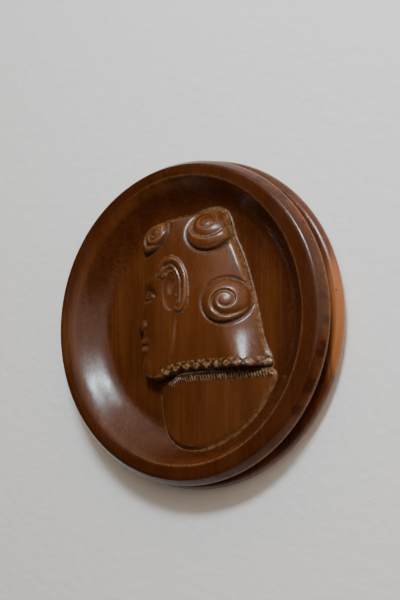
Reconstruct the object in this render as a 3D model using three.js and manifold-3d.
// A carved wooden bowl made to hang on a wall, with a head in relief inside it.
// Millimetres. The wall is the plane y = 0, the bowl opens towards -Y and +Z is up.
// "Height" below means the distance off the wall, so a point at height h has y = -h.

import * as THREE from 'three';
import { mergeVertices } from 'three/addons/utils/BufferGeometryUtils.js';
import Module from 'manifold-3d';

const DEG = Math.PI / 180;
const GAP = 0.3; // air left between pieces that touch

// Turned shape of the bowl
const LIP_RADIUS = 150; // outermost radius of the lip
const LIP_CROWN = 36; // height of the control point that crowns the lip's flat front
const LIP_RIDGE = { radius: 143, height: 33.5 }; // where the front turns to the outer side
const LIP_EDGE_HEIGHT = 27; // height at which the lip is widest
const LIP_EDGE_ROUND = 2.5; // rounding of that edge
const ARRIS_HEIGHT = 32.5; // where the inside wall meets the lip
const OPENING_RADIUS = 131.7; // mean radius of the slightly oval opening
const OPENING_SHIFT = new THREE.Vector2(-1.6, 2);
const OPENING_OVAL = 2.6;
const OPENING_TURN = 101 * DEG; // direction of the oval's long axis
const GROOVE_RADIUS = 139;
const GROOVE_HEIGHT = 17;
const FLANGE_RADIUS = 154;
const FLANGE_EDGE = 6.5; // radius of the flange's rounded rim
const FLOOR_HEIGHT = 11; // wood left behind the middle of the bowl
const WALL_CURVE = 41; // radius of the curve from the floor up to the arris
const WALL_REACH = Math.sqrt(WALL_CURVE ** 2 - (WALL_CURVE - ARRIS_HEIGHT + FLOOR_HEIGHT) ** 2);

// Mesh density of the bowl
const SECTORS = 90;
const RINGS = 16;
const PLATE_LOOPS = 8;
const EDGE_PACKING = 1.7; // above 1, a plate's loops lie closer together near its outline

// Relief head, seen from the front: x to the right, z up, outlines anticlockwise
const HEAD_OUTLINE = [
  [85, -45], [77, -21], [73, -4], [68, 19], [62, 40], [54, 62], [47, 77], [41, 97], [31, 104],
  [17, 104], [4, 101], [-19, 99], [-37, 96], [-49, 86], [-51, 70], [-51, 48], [-49, 28], [-54, 12],
  [-59, -2], [-52, -11], [-53, -24], [-50, -34], [-49, -46], [-38, -54], [-14, -52], [50, -48],
];
const BUST_OUTLINE = [
  [-30, -46], [-33, -60], [-33, -73], [-31, -86], [-26, -100], [-16, -110], [-3, -116],
  [12, -117], [28, -114], [53, -100], [71, -83], [82, -66], [86, -48], [40, -40],
];
const NECKLACE_OUTLINE = [
  [-23, -52], [-20, -60], [16, -57], [44, -56], [77, -55], [84, -46], [80, -38], [44, -37],
  [14, -38], [-10, -42],
];
const HEAD_MIDDLE = new THREE.Vector2(5, 25);
const BUST_MIDDLE = new THREE.Vector2(25, -75);
const NECKLACE_MIDDLE = new THREE.Vector2(32, -47);
const PLATE_FOOT = 8; // height down to which a plate reaches into the wood
const STEP = 0.7; // crisp step at a plate's outline
const HEAD_FOOT = 13; // height of hair and cheek near that step
const HEAD_RISE = 17; // how much higher the middle of the head stands
const HAIR_BEND_X = 68;
const HAIR_BEND_Z = 19; // above this height the hair's right edge bends in
const HAIR_LEAN = 0.23;
const HAIR_BEND = 0.0023;
const FLANK_WIDTH = 40; // over which the hair falls to its right edge
const PROFILE_X = -56; // about where the face's profile lies
const FRONT_WIDTH = 32; // over which the head falls to its profile
const FRONT_FALL = 10;
const CROWN_START = 70;
const CROWN_WIDTH = 34; // over which the head falls to the top of the hair
const CROWN_FALL = 8;
const LEAST_RISE = 2; // of head and bust above the floor
const EDGE_SHARE = 0.06; // part of the way to the middle that is rounded
const BUST_HEIGHT = 24.5;
const NECK_X = 8; // x of the highest part of the neck
const NECK_HALF = 41;
const NECK_FALL = 10;
const BUST_SLOPE = 0.14; // how fast the bust falls to the right
const NECKLACE_RISE = 2;
const NECKLACE_SINK = 1; // how far its edge starts below head and bust
const NECKLACE_SHARE = 0.3;
const BUNS = [
  { x: 45.5, z: 15, rx: 23.5, rz: 22, turn: 0, rise: 4.5, knob: [49.5, 15.5] },
  { x: 27, z: 82.5, rx: 23, rz: 21, turn: 0, rise: 5.5, knob: [26, 89.5] },
  { x: -34, z: 80.5, rx: 19.5, rz: 12.5, turn: 35, rise: 4.5, knob: [-28, 84] },
];
const KNOB_RADIUS = 7;
const KNOB_RISE = 1.2;
const EAR = { x: -9, z: 34, rx: 14, rz: 25, turn: -8, rise: 3 };
const ELLIPSE_SIDES = 24;

// Hanger let into the back
const POCKET_WIDTH = 27;
const POCKET_DEPTH = 7;
const POCKET_TOP = 98;
const POCKET_FOOT = 43;
const POCKET_CORNER = 6;
const EYE_Z = 78; // height of the ring's axis on the bowl
const WIRE_RADIUS = 1.2;
const STRAP_THICKNESS = 1.2;
const STRAP_WIDTH = 10;
const STRAP_LENGTH = 31;
const EYE_INNER = WIRE_RADIUS + GAP;
const EYE_OUTER = EYE_INNER + STRAP_THICKNESS;
const STRAP_FRONT = POCKET_DEPTH - GAP; // strap face that lies on the wood
const STRAP_BACK = STRAP_FRONT - STRAP_THICKNESS;
const EYE_HEIGHT = STRAP_FRONT - EYE_OUTER;
const RING_WIDTH = 18;
const RING_REACH = 15;
const RING_CORNER = 3;
const RING_SPLIT = 0.6; // gap where the bent wire's two ends meet
const SCREW_DROPS = { upper: 9, lower: 24 }; // distances below the eye
const SCREW_RADIUS = 1.3;
const SCREW_LENGTH = 9; // from the strap into the wood
const SCREW_HEAD_RADIUS = 3.2;
const SCREW_HEAD_RISE = 1.7;
const SLOT_WIDTH = 0.9;
const SLOT_DEPTH = 0.7;

const WOOD = new THREE.MeshStandardMaterial({ color: 0x6b2a14, roughness: 0.3, metalness: 0 });
const STEEL = new THREE.MeshStandardMaterial({ color: 0xa8a49a, roughness: 0.35, metalness: 1 });
const BRASS = new THREE.MeshStandardMaterial({ color: 0xb08d4a, roughness: 0.4, metalness: 1 });

const wasm = await Module();
wasm.setup();

function toSolid(geometry) {
  const bare = geometry.clone();
  bare.deleteAttribute('normal');
  bare.deleteAttribute('uv');
  const merged = mergeVertices(bare, 1e-4);
  return new wasm.Manifold(new wasm.Mesh({
    numProp: 3,
    vertProperties: new Float32Array(merged.attributes.position.array),
    triVerts: new Uint32Array(merged.index.array),
  }));
}

function toGeometry(solid) {
  const mesh = solid.getMesh();
  const geometry = new THREE.BufferGeometry();
  geometry.setAttribute('position', new THREE.BufferAttribute(mesh.vertProperties, 3));
  geometry.setIndex(new THREE.BufferAttribute(mesh.triVerts, 1));
  geometry.computeVertexNormals();
  return geometry;
}

function cut(geometry, tools) {
  return toGeometry(tools.reduce((solid, tool) => solid.subtract(toSolid(tool)), toSolid(geometry)));
}

function joined(geometries) {
  return toGeometry(geometries.map(toSolid).reduce((whole, solid) => whole.add(solid)));
}

// A point of the bowl from its place seen from the front and its height off the wall.
function at(place, height) {
  return [place.x, -height, place.y];
}

// One closed skin through rings of equal length, from a front middle point round to a back one.
function closedSkin(front, rings, back) {
  const sides = rings[0].length;
  const vertex = (ring, j) => 1 + ring * sides + j % sides;
  const last = 1 + rings.length * sides;
  const index = [];
  for (let j = 0; j < sides; j += 1) {
    index.push(0, vertex(0, j), vertex(0, j + 1));
    for (let ring = 1; ring < rings.length; ring += 1) {
      index.push(vertex(ring - 1, j), vertex(ring, j), vertex(ring, j + 1));
      index.push(vertex(ring - 1, j), vertex(ring, j + 1), vertex(ring - 1, j + 1));
    }
    index.push(vertex(rings.length - 1, j), last, vertex(rings.length - 1, j + 1));
  }
  const positions = [front, ...rings.flat(), back].flat();
  const geometry = new THREE.BufferGeometry();
  geometry.setAttribute('position', new THREE.Float32BufferAttribute(positions, 3));
  geometry.setIndex(index);
  return geometry;
}

// Radius of the opening inside the lip, in a direction from the middle.
function openingRadius(angle) {
  return OPENING_RADIUS + OPENING_SHIFT.x * Math.cos(angle) + OPENING_SHIFT.y * Math.sin(angle)
    + OPENING_OVAL * Math.cos(2 * (angle - OPENING_TURN));
}

// The hollow's surface: a flat floor that turns up along a circle to the arris.
function floorHeight(place) {
  const past = place.length() - openingRadius(place.angle()) + WALL_REACH;
  return FLOOR_HEIGHT + WALL_CURVE - Math.sqrt(WALL_CURVE ** 2 - Math.max(0, past) ** 2);
}

function smoothCurve(points) {
  const knots = points.map(([x, z]) => new THREE.Vector3(x, z, 0));
  const curve = new THREE.CatmullRomCurve3(knots, true, 'centripetal');
  return curve.getPoints(points.length * 3).slice(1).map((point) => new THREE.Vector2(point.x, point.y));
}

function ellipse({ x, z, rx, rz, turn }) {
  const curve = new THREE.EllipseCurve(x, z, rx, rz, 0, 2 * Math.PI, false, turn * DEG);
  return curve.getPoints(ELLIPSE_SIDES).slice(1);
}

// How far a surface has fallen, from 0 where it is flat to 1 a width further on.
function fall(distance, width) {
  return THREE.MathUtils.clamp(distance / width, 0, 1) ** 2;
}

// 0 at a plate's outline, rising to 1 a share of the way to its middle as a quarter circle does.
function rounded(inset, share) {
  return Math.sqrt(1 - (1 - Math.min(1, inset / share)) ** 2);
}

// A closed plate standing proud of the floor. Its loops shrink from the outline to the middle;
// heightAt gives the height at a place and at its inset, 0 on the outline and 1 in the middle.
function plate(outline, middle, heightAt) {
  const rings = [];
  for (let i = PLATE_LOOPS - 1; i >= 0; i -= 1) {
    const inset = (i / PLATE_LOOPS) ** EDGE_PACKING;
    const places = outline.map((point) => point.clone().lerp(middle, inset));
    rings.push(places.map((place) => at(place, heightAt(place, inset))));
  }
  rings.push(outline.map((point) => at(point, PLATE_FOOT)));
  return closedSkin(at(middle, heightAt(middle, 1)), rings, at(middle, PLATE_FOOT));
}

// The hair's right edge leans outwards towards the necklace and bends in towards the top.
function hairEdge(z) {
  const above = z - HAIR_BEND_Z;
  return HAIR_BEND_X - HAIR_LEAN * above - HAIR_BEND * Math.max(0, above) ** 2;
}

function headHeight(place) {
  const mass = HEAD_FOOT + HEAD_RISE * (1 - fall(place.x - hairEdge(place.y) + FLANK_WIDTH, FLANK_WIDTH))
    - FRONT_FALL * fall(PROFILE_X + FRONT_WIDTH - place.x, FRONT_WIDTH)
    - CROWN_FALL * fall(place.y - CROWN_START, CROWN_WIDTH);
  return Math.max(mass, floorHeight(place) + LEAST_RISE);
}

function bustHeight(place) {
  const mass = BUST_HEIGHT - NECK_FALL * fall(NECK_X - place.x, NECK_HALF)
    - BUST_SLOPE * Math.max(0, place.x - NECK_X);
  return Math.max(mass, floorHeight(place) + LEAST_RISE);
}

// Head or bust: a crisp step up from the floor, a rounded edge and its own height within.
function figure(outline, middle, ownHeight) {
  return plate(smoothCurve(outline), middle, (place, inset) => {
    const foot = floorHeight(place) + STEP;
    return foot + (ownHeight(place) - foot) * rounded(inset, EDGE_SHARE);
  });
}

function necklace() {
  return plate(smoothCurve(NECKLACE_OUTLINE), NECKLACE_MIDDLE, (place, inset) => {
    const under = Math.max(headHeight(place), bustHeight(place)) - NECKLACE_SINK;
    return under + (NECKLACE_RISE + NECKLACE_SINK) * rounded(inset, NECKLACE_SHARE);
  });
}

function dome(shape) {
  return plate(ellipse(shape), new THREE.Vector2(shape.x, shape.z), (place, inset) => (
    headHeight(place) + shape.rise * rounded(inset, 1)
  ));
}

// The flat-topped button of hair at the middle of a bun.
function knob({ rise, knob: [x, z] }) {
  return dome({ x, z, rx: KNOB_RADIUS, rz: KNOB_RADIUS, turn: 0, rise: rise + KNOB_RISE });
}

// The section from the arris over the flat front of the lip and round to the flat back.
function outerSection(opening) {
  const front = new THREE.Path()
    .moveTo(opening, ARRIS_HEIGHT)
    .quadraticCurveTo(
      (opening + LIP_RIDGE.radius) / 2, LIP_CROWN, LIP_RIDGE.radius, LIP_RIDGE.height,
    )
    .getPoints(4);
  const side = new THREE.Path().absarc(
    LIP_RADIUS - LIP_EDGE_ROUND, LIP_EDGE_HEIGHT, LIP_EDGE_ROUND, 42 * DEG, -60 * DEG, true,
  ).getPoints(3);
  const rim = new THREE.Path().absarc(
    FLANGE_RADIUS - FLANGE_EDGE, FLANGE_EDGE, FLANGE_EDGE, 105 * DEG, -90 * DEG, true,
  ).getPoints(6);
  const groove = new THREE.Path()
    .moveTo(side.at(-1).x, side.at(-1).y)
    .bezierCurveTo(
      GROOVE_RADIUS - 2, GROOVE_HEIGHT + 4, GROOVE_RADIUS - 2, GROOVE_HEIGHT - 3, rim[0].x, rim[0].y,
    )
    .getPoints(5);
  return [...front, ...side, ...groove.slice(1, -1), ...rim];
}

// The turned bowl before carving: rings of the hollow from the middle out, then of the section.
function bowlBlank() {
  const spokes = [];
  for (let j = 0; j < SECTORS; j += 1) {
    spokes.push(bowlSpoke(2 * Math.PI * j / SECTORS));
  }
  const rings = spokes[0].map((_, ring) => spokes.map((spoke) => spoke[ring]));
  return closedSkin([0, -FLOOR_HEIGHT, 0], rings, [0, 0, 0]);
}

// The blank's points in one direction, from near the middle round to the edge of the flat back.
function bowlSpoke(angle) {
  const opening = openingRadius(angle);
  const direction = new THREE.Vector2(Math.cos(angle), Math.sin(angle));
  const points = [];
  for (let i = 1; i < RINGS; i += 1) {
    const place = direction.clone().multiplyScalar(opening * Math.sqrt(i / RINGS));
    points.push(at(place, floorHeight(place)));
  }
  outerSection(opening).forEach((point) => {
    points.push(at(direction.clone().multiplyScalar(point.x), point.y));
  });
  return points;
}

function roundedRectangle(width, low, high, corner) {
  const half = width / 2 - corner;
  const shape = new THREE.Shape();
  shape.absarc(half, high - corner, corner, 0, 90 * DEG, false);
  shape.absarc(-half, high - corner, corner, 90 * DEG, 180 * DEG, false);
  shape.absarc(-half, low + corner, corner, 180 * DEG, 270 * DEG, false);
  shape.absarc(half, low + corner, corner, 270 * DEG, 360 * DEG, false);
  return shape;
}

// Extrudes a shape drawn in x and z from one height to another.
function slab(shape, fromHeight, toHeight) {
  const geometry = new THREE.ExtrudeGeometry(shape, {
    depth: toHeight - fromHeight, bevelEnabled: false, curveSegments: 5,
  });
  return geometry.rotateX(90 * DEG).translate(0, -fromHeight, 0);
}

// A round pin standing off the wall between two heights.
function pin(radius, z, fromHeight, toHeight, sides) {
  return new THREE.CylinderGeometry(radius, radius, toHeight - fromHeight, sides)
    .translate(0, -(fromHeight + toHeight) / 2, z);
}

function makeBowl() {
  const pocket = slab(
    roundedRectangle(POCKET_WIDTH, POCKET_FOOT, POCKET_TOP, POCKET_CORNER), -1, POCKET_DEPTH,
  );
  const pilots = Object.values(SCREW_DROPS).map((drop) => pin(
    SCREW_RADIUS + GAP, EYE_Z - drop, POCKET_DEPTH - 1, STRAP_BACK + SCREW_LENGTH + GAP, 12,
  ));
  const relief = [
    figure(HEAD_OUTLINE, HEAD_MIDDLE, headHeight),
    figure(BUST_OUTLINE, BUST_MIDDLE, bustHeight),
    necklace(),
    ...BUNS.map(dome),
    ...BUNS.map(knob),
    dome(EAR),
  ];
  return cut(joined([bowlBlank(), ...relief]), [pocket, ...pilots]);
}

// The strap's section, drawn in z and height: a flat tongue rolled into an eye at its top.
function strapSection() {
  const shape = new THREE.Shape();
  shape.moveTo(EYE_Z - STRAP_LENGTH, STRAP_FRONT);
  shape.lineTo(EYE_Z, STRAP_FRONT);
  shape.absarc(EYE_Z, EYE_HEIGHT, EYE_OUTER, 90 * DEG, -150 * DEG, true);
  shape.absarc(EYE_Z, EYE_HEIGHT, EYE_INNER, -150 * DEG, 90 * DEG, false);
  shape.lineTo(EYE_Z - STRAP_LENGTH, STRAP_BACK);
  shape.closePath();
  return shape;
}

function makeStrap() {
  const strap = new THREE.ExtrudeGeometry(strapSection(), {
    depth: STRAP_WIDTH, bevelEnabled: false, curveSegments: 10,
  }).translate(0, 0, -STRAP_WIDTH / 2);
  // Section x becomes z, section y becomes height, and the extrusion runs along x.
  const stand = new THREE.Matrix4().makeBasis(
    new THREE.Vector3(0, 0, 1), new THREE.Vector3(0, -1, 0), new THREE.Vector3(1, 0, 0),
  );
  strap.applyMatrix4(stand);
  const holes = Object.values(SCREW_DROPS).map((drop) => pin(
    SCREW_RADIUS + GAP, EYE_Z - drop, STRAP_BACK - 1, STRAP_FRONT + 1, 12,
  ));
  const foot = slab(
    roundedRectangle(STRAP_WIDTH, EYE_Z - STRAP_LENGTH, EYE_Z + 2 * EYE_OUTER, STRAP_WIDTH * 0.49),
    -1, POCKET_DEPTH,
  );
  const rounded = toSolid(strap).intersect(toSolid(foot));
  return toGeometry(holes.reduce((solid, hole) => solid.subtract(toSolid(hole)), rounded));
}

// Wire D: its straight bar lies in the eye, and its two ends meet in the middle of that bar.
function makeRing() {
  const half = RING_WIDTH / 2;
  const wire = new THREE.Path();
  wire.moveTo(RING_SPLIT / 2, 0);
  wire.lineTo(half - RING_CORNER, 0);
  wire.absarc(half - RING_CORNER, RING_CORNER, RING_CORNER, -90 * DEG, 0, false);
  wire.absarc(0, RING_REACH - half, half, 0, 180 * DEG, false);
  wire.absarc(-half + RING_CORNER, RING_CORNER, RING_CORNER, 180 * DEG, 270 * DEG, false);
  wire.lineTo(-RING_SPLIT / 2, 0);
  const route = wire.getSpacedPoints(48).map((p) => new THREE.Vector3(p.x, 0, p.y));
  const section = new THREE.Shape().absarc(0, 0, WIRE_RADIUS, 0, 2 * Math.PI, false);
  return new THREE.ExtrudeGeometry(section, {
    extrudePath: new THREE.CatmullRomCurve3(route), steps: 48, curveSegments: 5, bevelEnabled: false,
  });
}

// Round-head wood screw: its head rises from the strap towards the wall.
function makeScrew() {
  const head = new THREE.Path();
  head.moveTo(0, -SCREW_HEAD_RISE);
  head.bezierCurveTo(
    SCREW_HEAD_RADIUS * 0.6, -SCREW_HEAD_RISE, SCREW_HEAD_RADIUS, -SCREW_HEAD_RISE * 0.6,
    SCREW_HEAD_RADIUS, 0,
  );
  const section = [
    ...head.getPoints(5),
    new THREE.Vector2(SCREW_RADIUS, 0),
    new THREE.Vector2(SCREW_RADIUS, SCREW_LENGTH * 0.75),
    new THREE.Vector2(0, SCREW_LENGTH),
  ];
  const body = new THREE.LatheGeometry(section, 16);
  const slot = new THREE.BoxGeometry(2 * SCREW_HEAD_RADIUS + 1, SLOT_DEPTH, SLOT_WIDTH)
    .translate(0, -SCREW_HEAD_RISE + SLOT_DEPTH / 2 - 0.001, 0);
  return cut(body, [slot]);
}

function named(name, geometry, material) {
  const mesh = new THREE.Mesh(geometry, material);
  mesh.name = name;
  return mesh;
}

const carvedBowl = new THREE.Group();
carvedBowl.add(named('bowl', makeBowl(), WOOD));

const hanger = new THREE.Group();
hanger.add(named('hanger_strap', makeStrap(), STEEL));
const ring = named('hanger_ring', makeRing(), STEEL);
ring.position.set(0, -EYE_HEIGHT, EYE_Z);
hanger.add(ring);
Object.entries(SCREW_DROPS).forEach(([place, drop]) => {
  const screw = named(`hanger_screw_${place}`, makeScrew(), BRASS);
  screw.position.set(0, -(STRAP_BACK - GAP), EYE_Z - drop);
  screw.rotation.set(180 * DEG, 0, 0);
  hanger.add(screw);
});
carvedBowl.add(hanger);

export default carvedBowl;
